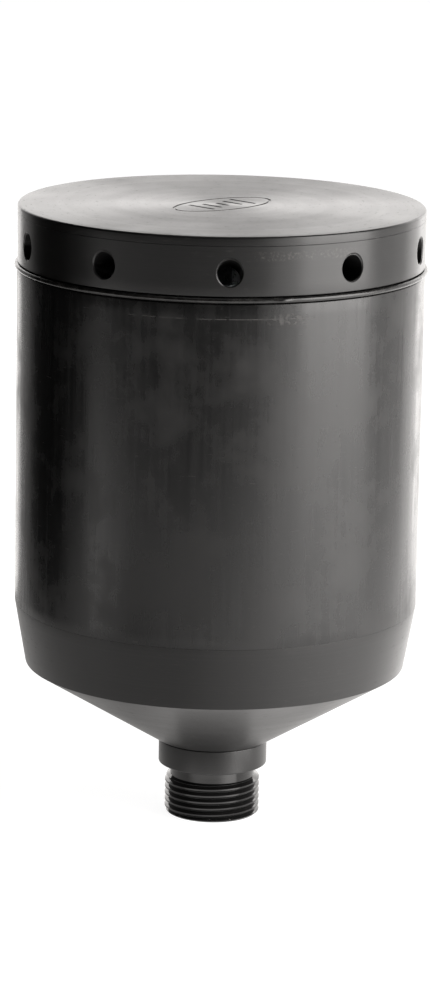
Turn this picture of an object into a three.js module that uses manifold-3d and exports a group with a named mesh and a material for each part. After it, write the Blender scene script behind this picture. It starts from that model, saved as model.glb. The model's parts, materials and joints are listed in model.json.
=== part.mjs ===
// Pneumatic muffler with a G 1 male inlet thread, a plastic housing and a screw-in cap.
// Units are millimetres. +Z runs from the inlet up to the cap, and the origin is the centre of
// the inlet spigot's end face. Touching pieces keep a clearance of about 0.3 mm.
import * as THREE from 'three';
import { mergeVertices } from 'three/addons/utils/BufferGeometryUtils.js';
import Module from 'manifold-3d';

const wasm = await Module();
wasm.setup();

// ---- Driving dimensions --------------------------------------------------------------------
const CLEARANCE = 0.3;            // between pieces that touch
const ROUND_STEPS = 40;           // facets round the housing
const SMALL_STEPS = 24;           // facets round a screw or nut bore

const PIPE_RADIUS = 70;           // 140 mm polyethylene pipe
const PIPE_WALL = 8.3;
const PIPE_BORE = PIPE_RADIUS - PIPE_WALL;

const TOTAL_HEIGHT = 216;
const SPIGOT_LENGTH = 18;         // G 1 stud end
const COLLAR_TOP = 26.5;
const CONE_TOP = 55.3;            // sharp edge between cone and taper
const SEAM_HEIGHT = 77;           // where the pipe lands on the base
const PIPE_TOP = 193.8;
const CAP_FLOOR = 196.2;          // underside of the cap's skirt
const COLLAR_RADIUS = 19;
const CONE_RADIUS = 66.2;

const INLET_MAJOR = 33.249 / 2;   // G 1 thread
const INLET_MINOR = 30.291 / 2;
const INLET_PITCH = 2.309;
const INLET_BORE = 12;
const INLET_STEPS = 32;
const RELIEF_START = 14.2;        // thread relief under the collar
const RELIEF_RADIUS = 14.8;
const SHANK_RADIUS = 16;          // the stud's shank in the base
const SHANK_TOP = 33;

const PLUG_RADIUS = 61.2;         // base spigot inside the pipe
const PLUG_TOP = 89;
const CAVITY_RADIUS = 46;
const CAVITY_FLOOR = 53;          // where the cavity starts to narrow towards the shank
const BASE_FLOOR = 31.5;
const LEDGE_HEIGHT = 84;          // the silencing pack stands on this ledge
const LEDGE_RADIUS = 56;
const O_RING_HEIGHT = 80.2;
const O_RING_SECTION = 1.6;
const O_RING_GROOVE_DEPTH = 2.7;

const CAP_RADIUS = 69.9;
const CAP_EDGE = 1.5;
const CAP_NECK = 60.9;            // threaded neck that screws into the pipe
const CAP_NECK_END = 181.5;
const CAP_CHAMBER = 54;
const CAP_CEILING = 206;
const CAP_PITCH = 5;
const CAP_THREAD_DEPTH = 2.2;

const EXHAUST_COUNT = 10;
const EXHAUST_RADIUS = 4.2;
const EXHAUST_HEIGHT = 204.2;     // where the hole's axis meets the skirt
const EXHAUST_SLANT = 18;         // degrees down towards the chamber
const EXHAUST_OFFSET = 2.4;       // degrees from the front to the first hole

const SEAL_RADIUS = 70.9;
const SEAL_BORE = 62.6;

const GASKET_THICKNESS = 1.5;
const PLATE_THICKNESS = 4;
const DIFFUSER_RADIUS = 20;
const DIFFUSER_WALL = 1.5;
const SLEEVE_RADIUS = 46.4;
const SLEEVE_WALL = 1;
const RING_COUNT = 5;
const PACK_LENGTH = 91;
const TOP_PLATE_RADIUS = 48.5;
const TOP_PLATE_THICKNESS = 3;

const ROD_RADIUS = 3.9;           // M8
const ROD_HOLE = 4.5;
const NUT_FLATS = 13;
const NUT_HEIGHT = 6.5;
const WASHER_RADIUS = 8;
const WASHER_THICKNESS = 1.6;
const BAR_LENGTH = 64;
const BAR_WIDTH = 14;
const BAR_THICKNESS = 5;
const SCREW_COUNT = 3;
const SCREW_CIRCLE = 51;

// ---- Materials -----------------------------------------------------------------------------
function finish(color, roughness, metalness) {
  return new THREE.MeshStandardMaterial({ color, roughness, metalness });
}

const blackPolyethylene = finish(0x1f1e1d, 0.35, 0);
const turnedPolyethylene = finish(0x2c2b2a, 0.5, 0);
const blackRubber = finish(0x151515, 0.45, 0);
const greyFelt = finish(0x9a958b, 0.95, 0);
const stainless = finish(0xb9bcbf, 0.3, 1);
const zincSteel = finish(0xa9adb3, 0.4, 1);

// ---- Solids --------------------------------------------------------------------------------
// Merges shared vertices and drops the empty triangles at a lathe's poles.
function closedGeometry(source) {
  const bare = source.clone();
  bare.deleteAttribute('normal');
  bare.deleteAttribute('uv');
  const merged = mergeVertices(bare, 1e-4);
  const corners = merged.index.array;
  const kept = [];
  for (let i = 0; i < corners.length; i += 3) {
    const [a, b, c] = [corners[i], corners[i + 1], corners[i + 2]];
    if (a !== b && b !== c && c !== a) kept.push(a, b, c);
  }
  merged.setIndex(kept);
  return merged;
}

function signedVolume(geometry) {
  const place = geometry.attributes.position;
  const corners = geometry.index.array;
  const [a, b, c] = [new THREE.Vector3(), new THREE.Vector3(), new THREE.Vector3()];
  let volume = 0;
  for (let i = 0; i < corners.length; i += 3) {
    a.fromBufferAttribute(place, corners[i]);
    b.fromBufferAttribute(place, corners[i + 1]);
    c.fromBufferAttribute(place, corners[i + 2]);
    volume += a.dot(b.cross(c)) / 6;
  }
  return volume;
}

// A solid for joining and cutting, with its faces turned outwards.
function solid(source) {
  const geometry = closedGeometry(source);
  const corners = Uint32Array.from(geometry.index.array);
  if (signedVolume(geometry) < 0) {
    for (let i = 0; i < corners.length; i += 3) {
      [corners[i + 1], corners[i + 2]] = [corners[i + 2], corners[i + 1]];
    }
  }
  const vertProperties = Float32Array.from(geometry.attributes.position.array);
  return new wasm.Manifold(new wasm.Mesh({ numProp: 3, vertProperties, triVerts: corners }));
}

function join(first, ...others) {
  return others.reduce((sum, other) => sum.add(other), first);
}

function cut(first, ...others) {
  return others.reduce((rest, other) => rest.subtract(other), first);
}

function part(name, shape, material) {
  const { vertProperties, triVerts } = shape.getMesh();
  const geometry = new THREE.BufferGeometry();
  geometry.setAttribute('position', new THREE.BufferAttribute(vertProperties, 3));
  geometry.setIndex(new THREE.BufferAttribute(triVerts, 1));
  geometry.computeVertexNormals();
  const mesh = new THREE.Mesh(geometry, material);
  mesh.name = name;
  return mesh;
}

// A turned solid about Z. The outline is a list of [radius, height] points.
function turned(outline, steps = ROUND_STEPS) {
  const points = outline.map(([radius, height]) => new THREE.Vector2(radius, height));
  const geometry = new THREE.LatheGeometry(points, steps);
  geometry.rotateX(Math.PI / 2);
  return solid(geometry);
}

// A turned ring whose outline closes on itself.
function turnedRing(outline, steps = ROUND_STEPS) {
  return turned([...outline, outline[0]], steps);
}

function annulus(bore, radius, low, high, steps = ROUND_STEPS) {
  return turnedRing([[bore, low], [radius, low], [radius, high], [bore, high]], steps);
}

function rod(radius, low, high, steps = SMALL_STEPS) {
  return turned([[0, low], [radius, low], [radius, high], [0, high]], steps);
}

// A flat shape in the XY plane, raised from low to high.
function raised(shape, low, high, curveSegments = 8) {
  const depth = high - low;
  const geometry = new THREE.ExtrudeGeometry(shape, { depth, bevelEnabled: false, curveSegments });
  geometry.translate(0, 0, low);
  return solid(geometry);
}

// A right-hand helical ridge of trapezoidal section. Its crest fades in and out over fade turns.
function helicalRidge({ root, crest, rootWidth, crestWidth, pitch, start, turns, steps, fade }) {
  const count = Math.round(turns * steps);
  const places = [];
  const corners = [];
  for (let i = 0; i <= count; i += 1) {
    const turn = i / steps;
    const rise = fade > 0 ? Math.min(1, turn / fade, (count / steps - turn) / fade) : 1;
    const angle = turn * 2 * Math.PI;
    const middle = start + turn * pitch;
    const top = root + (crest - root) * Math.max(0.25, rise);
    for (const [radius, height] of [
      [root, middle - rootWidth / 2],
      [top, middle - crestWidth / 2],
      [top, middle + crestWidth / 2],
      [root, middle + rootWidth / 2],
    ]) {
      places.push(radius * Math.cos(angle), radius * Math.sin(angle), height);
    }
  }
  for (let i = 0; i < count; i += 1) {
    for (let side = 0; side < 4; side += 1) {
      const a = i * 4 + side;
      const b = i * 4 + (side + 1) % 4;
      corners.push(a, b, b + 4, a, b + 4, a + 4);
    }
  }
  const last = count * 4;
  corners.push(0, 2, 1, 0, 3, 2, last, last + 1, last + 2, last, last + 2, last + 3);
  const geometry = new THREE.BufferGeometry();
  geometry.setAttribute('position', new THREE.Float32BufferAttribute(places, 3));
  geometry.setIndex(corners);
  return solid(geometry);
}

function turn(shape, degrees) {
  return shape.rotate([0, 0, degrees]);
}

// ---- Housing -------------------------------------------------------------------------------
function inletThread() {
  const root = INLET_MINOR - 0.35;
  return helicalRidge({
    root,
    crest: INLET_MAJOR,
    rootWidth: INLET_PITCH - 0.3,
    crestWidth: 0.5,
    pitch: INLET_PITCH,
    start: 1.6,
    turns: 5,
    steps: INLET_STEPS,
    fade: 0.35,
  });
}

function screwPlaces() {
  return Array.from({ length: SCREW_COUNT }, (_, i) => (i * 360) / SCREW_COUNT + 30);
}

function atScrew(shape, degrees) {
  return turn(shape.translate([SCREW_CIRCLE, 0, 0]), degrees);
}

// Turned from solid: threaded spigot, collar, and a plain shank that is fixed in the base.
function inletStud() {
  const body = turned([
    [0, 0],
    [INLET_MINOR - 0.9, 0],
    [INLET_MINOR, 0.9],
    [INLET_MINOR, RELIEF_START - 0.8],
    [RELIEF_RADIUS, RELIEF_START],
    [RELIEF_RADIUS, SPIGOT_LENGTH],
    [COLLAR_RADIUS - 0.5, SPIGOT_LENGTH],
    [COLLAR_RADIUS, SPIGOT_LENGTH + 0.5],
    [COLLAR_RADIUS, COLLAR_TOP],
    [SHANK_RADIUS, COLLAR_TOP],
    [SHANK_RADIUS, SHANK_TOP],
    [0, SHANK_TOP],
  ], INLET_STEPS);
  const bore = rod(INLET_BORE, -1, SHANK_TOP + 1, INLET_STEPS);
  return cut(join(body, inletThread()), bore);
}

// Turned from solid: the cone, and a plug that fills the end of the pipe.
function inletBase() {
  const grooveFloor = PLUG_RADIUS - O_RING_GROOVE_DEPTH;
  const grooveHalf = O_RING_SECTION + 0.4;
  const shankBore = SHANK_RADIUS + CLEARANCE;
  const coneSlope = (CONE_RADIUS - COLLAR_RADIUS) / (CONE_TOP - COLLAR_TOP);
  const body = turnedRing([
    [shankBore, COLLAR_TOP + CLEARANCE],
    [COLLAR_RADIUS + CLEARANCE * coneSlope, COLLAR_TOP + CLEARANCE],
    [CONE_RADIUS, CONE_TOP],
    [PIPE_RADIUS, SEAM_HEIGHT],
    [PLUG_RADIUS, SEAM_HEIGHT],
    [PLUG_RADIUS, O_RING_HEIGHT - grooveHalf],
    [grooveFloor, O_RING_HEIGHT - grooveHalf],
    [grooveFloor, O_RING_HEIGHT + grooveHalf],
    [PLUG_RADIUS, O_RING_HEIGHT + grooveHalf],
    [PLUG_RADIUS, PLUG_TOP - 1],
    [PLUG_RADIUS - 1, PLUG_TOP],
    [LEDGE_RADIUS, PLUG_TOP],
    [LEDGE_RADIUS, LEDGE_HEIGHT],
    [CAVITY_RADIUS, LEDGE_HEIGHT],
    [CAVITY_RADIUS, CAVITY_FLOOR],
    [SHANK_RADIUS + 2, BASE_FLOOR],
    [shankBore, BASE_FLOOR],
  ]);
  const screwHole = rod(2.2, LEDGE_HEIGHT - 13, LEDGE_HEIGHT + 1, 10);
  return cut(body, ...screwPlaces().map((degrees) => atScrew(screwHole, degrees)));
}

// The groove in the pipe's mouth is open at the top, so the cap's ridge can leave it.
function pipeThreadCutter() {
  return helicalRidge({
    root: PIPE_BORE - 0.6,
    crest: CAP_NECK + CAP_THREAD_DEPTH + 0.9,
    rootWidth: 3.9,
    crestWidth: 2.5,
    pitch: CAP_PITCH,
    start: 183.6,
    turns: 3,
    steps: ROUND_STEPS,
    fade: 0,
  });
}

function bodyTube() {
  const tube = annulus(PIPE_BORE, PIPE_RADIUS, SEAM_HEIGHT + CLEARANCE, PIPE_TOP);
  return cut(tube, pipeThreadCutter());
}

function neckThread() {
  return helicalRidge({
    root: CAP_NECK - 0.5,
    crest: CAP_NECK + CAP_THREAD_DEPTH,
    rootWidth: 2.9,
    crestWidth: 1.5,
    pitch: CAP_PITCH,
    start: 183.6,
    turns: 2,
    steps: ROUND_STEPS,
    fade: 0.15,
  });
}

// One exhaust hole, drilled from outside through the front of the skirt.
function exhaustDrill() {
  const drill = rod(EXHAUST_RADIUS, -24, 12, 16);
  return drill
    .rotate([90 - EXHAUST_SLANT, 0, 0])
    .translate([0, -CAP_RADIUS, EXHAUST_HEIGHT]);
}

function ellipse(halfLength, halfWidth) {
  return new THREE.EllipseCurve(0, 0, halfLength, halfWidth, 0, 2 * Math.PI);
}

// A plain oval frame round five bars, cut 0.5 mm deep in the top face.
function emblemCutter() {
  const frame = new THREE.Shape(ellipse(20, 11).getPoints(32));
  frame.holes.push(new THREE.Path(ellipse(19.1, 10.1).getPoints(32)));
  const bars = [12, 9, 6, 9, 12].map((height, i) => {
    const bar = new THREE.BoxGeometry(2, height, 1);
    bar.translate((i - 2) * 5, 0, TOTAL_HEIGHT);
    return solid(bar);
  });
  return turn(join(raised(frame, TOTAL_HEIGHT - 0.5, TOTAL_HEIGHT + 0.5), ...bars), 32);
}

function topCap() {
  const body = turned([
    [0, CAP_CEILING],
    [CAP_CHAMBER - 2, CAP_CEILING],
    [CAP_CHAMBER, CAP_CEILING - 2],
    [CAP_CHAMBER, CAP_NECK_END],
    [CAP_NECK - 1, CAP_NECK_END],
    [CAP_NECK, CAP_NECK_END + 1],
    [CAP_NECK, CAP_FLOOR],
    [CAP_RADIUS, CAP_FLOOR],
    [CAP_RADIUS, TOTAL_HEIGHT - CAP_EDGE],
    [CAP_RADIUS - CAP_EDGE * 0.3, TOTAL_HEIGHT - CAP_EDGE * 0.3],
    [CAP_RADIUS - CAP_EDGE, TOTAL_HEIGHT],
    [0, TOTAL_HEIGHT],
  ]);
  const drills = Array.from({ length: EXHAUST_COUNT }, (_, i) =>
    turn(exhaustDrill(), EXHAUST_OFFSET + (i * 360) / EXHAUST_COUNT));
  return cut(join(body, neckThread()), emblemCutter(), ...drills);
}

// Flat washer with a rounded outer bead that stands a little proud of the housing.
function capSealRing() {
  const low = PIPE_TOP + CLEARANCE;
  const high = CAP_FLOOR - CLEARANCE;
  const middle = (low + high) / 2;
  return turnedRing([
    [SEAL_BORE, low],
    [SEAL_RADIUS - 0.5, low],
    [SEAL_RADIUS, middle - 0.4],
    [SEAL_RADIUS, middle + 0.4],
    [SEAL_RADIUS - 0.5, high],
    [SEAL_BORE, high],
  ]);
}

function baseSealRing() {
  const middle = PLUG_RADIUS - O_RING_GROOVE_DEPTH + CLEARANCE + O_RING_SECTION * 0.9;
  const outline = Array.from({ length: 6 }, (_, i) => {
    const angle = (i / 6) * 2 * Math.PI;
    const radius = middle + O_RING_SECTION * 0.85 * Math.cos(angle);
    return [radius, O_RING_HEIGHT + O_RING_SECTION * Math.sin(angle)];
  });
  return turnedRing(outline);
}

// ---- Silencing pack ------------------------------------------------------------------------
const plateFloor = LEDGE_HEIGHT + GASKET_THICKNESS + 2 * CLEARANCE;
const plateTop = plateFloor + PLATE_THICKNESS;
const packFloor = plateTop + CLEARANCE;
const packTop = packFloor + PACK_LENGTH;
const topPlateFloor = packTop + CLEARANCE;
const topPlateTop = topPlateFloor + TOP_PLATE_THICKNESS;
const barTop = plateFloor - CLEARANCE;
const barFloor = barTop - BAR_THICKNESS;

function plateGasket() {
  const low = LEDGE_HEIGHT + CLEARANCE;
  const ring = annulus(CAVITY_RADIUS + 0.6, LEDGE_RADIUS - 0.4, low, low + GASKET_THICKNESS);
  const hole = rod(2.6, low - 1, low + GASKET_THICKNESS + 1, 10);
  return cut(ring, ...screwPlaces().map((degrees) => atScrew(hole, degrees)));
}

function lowerEndPlate() {
  const plate = annulus(DIFFUSER_RADIUS + CLEARANCE, LEDGE_RADIUS - 0.4, plateFloor, plateTop);
  const hole = rod(2.6, plateFloor - 1, plateTop + 1, 10);
  return cut(plate, ...screwPlaces().map((degrees) => atScrew(hole, degrees)));
}

// Pan-head screw that holds the plate down on the ledge.
function plateScrew(degrees) {
  const headFloor = plateTop + CLEARANCE;
  const screw = turned([
    [0, LEDGE_HEIGHT - 11.5],
    [1, LEDGE_HEIGHT - 11.5],
    [1.9, LEDGE_HEIGHT - 9.5],
    [1.9, headFloor],
    [3.9, headFloor],
    [3.9, headFloor + 1.6],
    [2.6, headFloor + 2.8],
    [0, headFloor + 2.8],
  ], 12);
  const slot = new THREE.BoxGeometry(9, 1, 2.4);
  slot.translate(0, 0, headFloor + 2.8);
  return atScrew(cut(screw, solid(slot)), degrees);
}

// Flat bar across the plate's opening. It anchors the tie rod and leaves the air its way in.
function crossBar() {
  const half = BAR_LENGTH / 2 - BAR_WIDTH / 2;
  const outline = new THREE.Shape();
  outline.absarc(half, 0, BAR_WIDTH / 2, -Math.PI / 2, Math.PI / 2, false);
  outline.absarc(-half, 0, BAR_WIDTH / 2, Math.PI / 2, (3 * Math.PI) / 2, false);
  const bar = raised(outline, barFloor, barTop);
  return cut(bar, rod(ROD_HOLE, barFloor - 1, barTop + 1));
}

function diffuserTube() {
  const low = plateFloor;
  const tube = annulus(DIFFUSER_RADIUS - DIFFUSER_WALL, DIFFUSER_RADIUS, low, packTop, 32);
  const rows = 5;
  const around = 6;
  const spacing = (packTop - packFloor) / rows;
  const drill = rod(3.4, 0, DIFFUSER_RADIUS + 4, 6).rotate([0, 90, 0]);
  const holes = [];
  for (let row = 0; row < rows; row += 1) {
    for (let i = 0; i < around; i += 1) {
      const degrees = ((i + (row % 2) / 2) * 360) / around;
      holes.push(turn(drill, degrees).translate([0, 0, packFloor + (row + 0.5) * spacing]));
    }
  }
  return cut(tube, ...holes);
}

function absorberRing(index) {
  const height = PACK_LENGTH / RING_COUNT;
  const low = packFloor + index * height;
  const bore = DIFFUSER_RADIUS + 0.5;
  const radius = SLEEVE_RADIUS - SLEEVE_WALL - 0.5;
  const edge = 0.8;
  const high = low + height - CLEARANCE;
  return turnedRing([
    [bore, low],
    [radius - edge, low],
    [radius, low + edge],
    [radius, high - edge],
    [radius - edge, high],
    [bore, high],
  ], 32);
}

function outerSleeve() {
  const sleeve = annulus(SLEEVE_RADIUS - SLEEVE_WALL, SLEEVE_RADIUS, packFloor, packTop);
  const rows = 3;
  const around = 12;
  const spacing = (packTop - packFloor) / rows;
  const slots = [];
  for (let row = 0; row < rows; row += 1) {
    for (let i = 0; i < around / 2; i += 1) {
      const slot = new THREE.BoxGeometry(SLEEVE_RADIUS * 2 + 6, 6, spacing - 8);
      slot.translate(0, 0, packFloor + (row + 0.5) * spacing);
      slots.push(turn(solid(slot), ((i + (row % 2) / 2) * 360) / around));
    }
  }
  return cut(sleeve, ...slots);
}

function upperEndPlate() {
  return annulus(ROD_HOLE, TOP_PLATE_RADIUS, topPlateFloor, topPlateTop);
}

const washerFloor = topPlateTop + CLEARANCE;
const springFloor = washerFloor + WASHER_THICKNESS + CLEARANCE;
const upperNutFloor = springFloor + 2 + CLEARANCE;
const rodTop = upperNutFloor + NUT_HEIGHT + 3;
const lowerWasherTop = barFloor - CLEARANCE;
const lowerNutTop = lowerWasherTop - WASHER_THICKNESS - CLEARANCE;
const rodFloor = lowerNutTop - NUT_HEIGHT - 3;

function tieRod() {
  const edge = 0.8;
  return turned([
    [0, rodFloor],
    [ROD_RADIUS - edge, rodFloor],
    [ROD_RADIUS, rodFloor + edge],
    [ROD_RADIUS, rodTop - edge],
    [ROD_RADIUS - edge, rodTop],
    [0, rodTop],
  ], SMALL_STEPS);
}

function hexNut(low) {
  const across = NUT_FLATS / Math.cos(Math.PI / 6) / 2;
  const outline = Array.from({ length: 6 }, (_, i) => {
    const angle = (i * Math.PI) / 3;
    return new THREE.Vector2(across * Math.cos(angle), across * Math.sin(angle));
  });
  const prism = raised(new THREE.Shape(outline), low, low + NUT_HEIGHT);
  const chamfer = turned([
    [0, low - 0.1],
    [NUT_FLATS / 2 + 0.1, low - 0.1],
    [across + 0.2, low + 0.8],
    [across + 0.2, low + NUT_HEIGHT - 0.8],
    [NUT_FLATS / 2 + 0.1, low + NUT_HEIGHT + 0.1],
    [0, low + NUT_HEIGHT + 0.1],
  ], SMALL_STEPS);
  const bore = rod(ROD_RADIUS + CLEARANCE, low - 1, low + NUT_HEIGHT + 1);
  return cut(prism.intersect(chamfer), bore);
}

function washer(low) {
  return annulus(ROD_RADIUS + CLEARANCE, WASHER_RADIUS, low, low + WASHER_THICKNESS, SMALL_STEPS);
}

function springWasher() {
  const ring = annulus(ROD_RADIUS + CLEARANCE, 6.6, springFloor, springFloor + 2, SMALL_STEPS);
  const slit = new THREE.BoxGeometry(8, 1.2, 6);
  slit.translate(6, 0, springFloor + 1);
  return cut(ring, solid(slit));
}

// ---- Assembly ------------------------------------------------------------------------------
const muffler = new THREE.Group();
muffler.name = 'pneumatic_muffler';
muffler.add(part('inlet_stud', inletStud(), turnedPolyethylene));
muffler.add(part('inlet_base', inletBase(), turnedPolyethylene));
muffler.add(part('body_tube', bodyTube(), blackPolyethylene));
muffler.add(part('top_cap', topCap(), turnedPolyethylene));
muffler.add(part('cap_seal_ring', capSealRing(), blackRubber));
muffler.add(part('base_seal_ring', baseSealRing(), blackRubber));
muffler.add(part('plate_gasket', plateGasket(), blackRubber));
muffler.add(part('lower_end_plate', lowerEndPlate(), stainless));
muffler.add(part('cross_bar', crossBar(), stainless));
muffler.add(part('diffuser_tube', diffuserTube(), stainless));
muffler.add(part('outer_sleeve', outerSleeve(), stainless));
muffler.add(part('upper_end_plate', upperEndPlate(), stainless));
muffler.add(part('tie_rod', tieRod(), zincSteel));
muffler.add(part('lower_washer', washer(lowerWasherTop - WASHER_THICKNESS), zincSteel));
muffler.add(part('lower_rod_nut', hexNut(lowerNutTop - NUT_HEIGHT), zincSteel));
muffler.add(part('upper_washer', washer(washerFloor), zincSteel));
muffler.add(part('spring_washer', springWasher(), zincSteel));
muffler.add(part('upper_rod_nut', hexNut(upperNutFloor), zincSteel));
for (let i = 0; i < RING_COUNT; i += 1) {
  muffler.add(part(`absorber_ring_${i + 1}`, absorberRing(i), greyFelt));
}
screwPlaces().forEach((degrees, i) => {
  muffler.add(part(`plate_screw_${i + 1}`, plateScrew(degrees), zincSteel));
});

export default muffler;
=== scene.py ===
import json
import math

import bmesh
import bpy
from mathutils import Matrix, Vector


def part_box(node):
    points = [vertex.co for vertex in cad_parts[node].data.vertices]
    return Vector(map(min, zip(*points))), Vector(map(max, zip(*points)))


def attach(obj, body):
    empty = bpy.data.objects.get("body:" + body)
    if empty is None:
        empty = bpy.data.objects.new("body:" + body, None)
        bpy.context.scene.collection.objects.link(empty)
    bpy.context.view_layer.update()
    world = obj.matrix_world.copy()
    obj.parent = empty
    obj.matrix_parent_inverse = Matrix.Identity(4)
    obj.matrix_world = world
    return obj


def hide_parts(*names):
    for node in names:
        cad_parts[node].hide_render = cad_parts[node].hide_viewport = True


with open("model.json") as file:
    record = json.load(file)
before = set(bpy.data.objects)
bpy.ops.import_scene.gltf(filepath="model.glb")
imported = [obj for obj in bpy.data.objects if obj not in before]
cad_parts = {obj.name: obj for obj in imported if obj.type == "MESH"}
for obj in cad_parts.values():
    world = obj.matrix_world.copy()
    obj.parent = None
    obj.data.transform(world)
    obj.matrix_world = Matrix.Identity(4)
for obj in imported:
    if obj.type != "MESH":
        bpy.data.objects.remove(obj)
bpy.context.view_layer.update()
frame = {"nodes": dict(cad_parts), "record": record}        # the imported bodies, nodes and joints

# Pneumatic muffler. Blender is in metres, +Z up, the inlet thread points down, -Y is the front.
# Outlines and sizes below are in millimetres and become metres when a mesh is made.
mm = 0.001
bigSteps = 360            # facets round the housing
smallSteps = 96           # facets round the stud

boxes = {name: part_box(name) for name in frame["nodes"]}


def topOf(node):
    return boxes[node][1].z / mm


def bottomOf(node):
    return boxes[node][0].z / mm


def radiusOf(node):
    return boxes[node][1].x / mm


# What the pieces share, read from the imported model.
housing = {
    "top": topOf("top_cap"),
    "capRadius": radiusOf("top_cap"),
    "neckEnd": bottomOf("top_cap"),
    "sealTop": topOf("cap_seal_ring"),
    "sealBottom": bottomOf("cap_seal_ring"),
    "sealRadius": radiusOf("cap_seal_ring"),
    "pipeRadius": radiusOf("body_tube"),
    "pipeTop": topOf("body_tube"),
    "plugTop": topOf("inlet_base"),
}


# Small helpers

def linear(hexColour):  # sRGB hex to the linear colour that shaders use
    values = [int(hexColour[i:i + 2], 16) / 255 for i in (1, 3, 5)]
    toLinear = [v / 12.92 if v <= 0.04045 else ((v + 0.055) / 1.055) ** 2.4 for v in values]
    return (*toLinear, 1.0)


def addNode(tree, kind, settings=None, **links):
    # Settings are node properties. Links are values or sockets, by input name or by _index.
    node = tree.nodes.new(kind)
    for key, value in (settings or {}).items():
        setattr(node, key, value)
    for key, value in links.items():
        socket = node.inputs[int(key[1:])] if key[0] == "_" else node.inputs[key.replace("_", " ")]
        for each in value if isinstance(value, list) else [value]:
            if isinstance(each, bpy.types.NodeSocket):
                tree.links.new(each, socket)
            else:
                socket.default_value = each
    return node


def maths(tree, operation, a, b):
    return addNode(tree, "ShaderNodeMath", {"operation": operation}, _0=a, _1=b).outputs[0]


def vector(tree, x=0.0, y=0.0, z=0.0):
    return addNode(tree, "ShaderNodeCombineXYZ", X=x, Y=y, Z=z).outputs[0]


def fillet(corners, arcSteps=6):
    # Corners are (radius, height) or (radius, height, fillet radius). Returns points with arcs.
    points = []
    for i, corner in enumerate(corners):
        here = Vector(corner[:2])
        if len(corner) < 3:
            points.append(here)
            continue
        before = (Vector(corners[i - 1][:2]) - here).normalized()
        after = (Vector(corners[(i + 1) % len(corners)][:2]) - here).normalized()
        half = before.angle(after) / 2
        reach = corner[2] / math.tan(half)
        centre = here + (before + after).normalized() * (corner[2] / math.sin(half))
        start = here + before * reach - centre
        end = here + after * reach - centre
        turns = [start.slerp(end, step / arcSteps) for step in range(arcSteps + 1)]
        points += [centre + turn * corner[2] for turn in turns]
    return points


def subdivided(points, longest, closed):
    # Splits long straight runs, so that shading stays local where a hole is cut.
    pairs = list(zip(points, points[1:] + points[:1]))
    if not closed:
        pairs = pairs[:-1]
    result = []
    for a, b in pairs:
        count = max(1, math.ceil((b - a).length / longest))
        result += [a.lerp(b, k / count) for k in range(count)]
    return result if closed else result + [points[-1]]


def turnedPiece(name, corners, steps, longest=4.0, swell=None):
    # A lathe piece. An outline that starts on the axis ends on it; any other closes on itself.
    closed = corners[0][0] > 0
    outline = subdivided(fillet(corners), longest, closed)
    vertices = []
    rings = []
    for point in outline:
        if point.x < 1e-6:
            rings.append([len(vertices)])
            vertices.append((0.0, 0.0, point.y * mm))
            continue
        rings.append(list(range(len(vertices), len(vertices) + steps)))
        for k in range(steps):
            angle = 2 * math.pi * k / steps
            radius = (point.x + (swell(angle, point) if swell else 0.0)) * mm
            vertices.append((radius * math.cos(angle), radius * math.sin(angle), point.y * mm))
    faces = []
    for low, high in zip(rings, rings[1:] + (rings[:1] if closed else [])):
        for k in range(steps):
            n = (k + 1) % steps
            face = [low[k % len(low)], low[n % len(low)], high[n % len(high)], high[k % len(high)]]
            faces.append(list(dict.fromkeys(face)))
    mesh = bpy.data.meshes.new(name)
    mesh.from_pydata(vertices, [], faces)
    faceOutwards(mesh)
    piece = bpy.data.objects.new(name, mesh)
    bpy.context.scene.collection.objects.link(piece)
    return piece


def faceOutwards(mesh):
    shape = bmesh.new()
    shape.from_mesh(mesh)
    bmesh.ops.recalc_face_normals(shape, faces=shape.faces)
    shape.to_mesh(mesh)
    shape.free()


def smooth(piece, sharpDegrees=32):
    piece.data.shade_smooth()
    piece.data.set_sharp_from_angle(angle=math.radians(sharpDegrees))


# Materials

def newMaterial(name):
    material = bpy.data.materials.new(name)
    material.use_nodes = True
    tree = material.node_tree
    return material, tree, tree.nodes["Principled BSDF"]


def roundAxis(tree):
    # Object coordinates as the angle round the axis, the distance from it and the height.
    place = addNode(tree, "ShaderNodeTexCoord").outputs["Object"]
    x, y, z = addNode(tree, "ShaderNodeSeparateXYZ", _0=place).outputs
    angle = maths(tree, "ARCTAN2", y, x)
    flat = vector(tree, x, y)
    radius = addNode(tree, "ShaderNodeVectorMath", {"operation": "LENGTH"}, _0=flat).outputs["Value"]
    return place, angle, radius, z


def noise(tree, dimensions, scale, detail=2.0, roughness=0.5, **links):
    return addNode(
        tree, "ShaderNodeTexNoise", {"noise_dimensions": dimensions},
        Scale=scale, Detail=detail, Roughness=roughness, **links,
    ).outputs["Fac"]


def ramp(tree, value, low, high, toLow=0.0, toHigh=1.0):
    return addNode(
        tree, "ShaderNodeMapRange", Value=value, From_Min=low, From_Max=high, To_Min=toLow, To_Max=toHigh,
    ).outputs[0]


def window(tree, value, low, high, soft):
    # 1 between low and high, fading to 0 over the soft distance outside them.
    rise = ramp(tree, value, low - soft, low)
    return maths(tree, "MULTIPLY", rise, ramp(tree, value, high, high + soft, 1.0, 0.0))


def patch(tree, angle, height, area, soft=0.6):
    # A worn patch on the outside: area is (from, to) in degrees, then (lowest, highest) in mm.
    turn = window(tree, angle, math.radians(area[0]), math.radians(area[1]), math.radians(3))
    return maths(tree, "MULTIPLY", turn, window(tree, height, area[2] * mm, area[3] * mm, soft * mm))


def mixed(tree, amount, a, b):
    return addNode(tree, "ShaderNodeMix", {"data_type": "RGBA"}, _0=amount, _6=a, _7=b).outputs[2]


def bumped(tree, shader, height, distance, strength=1.0):
    bump = addNode(tree, "ShaderNodeBump", Strength=strength, Distance=distance, Height=height)
    tree.links.new(bump.outputs[0], shader.inputs["Normal"])


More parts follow.
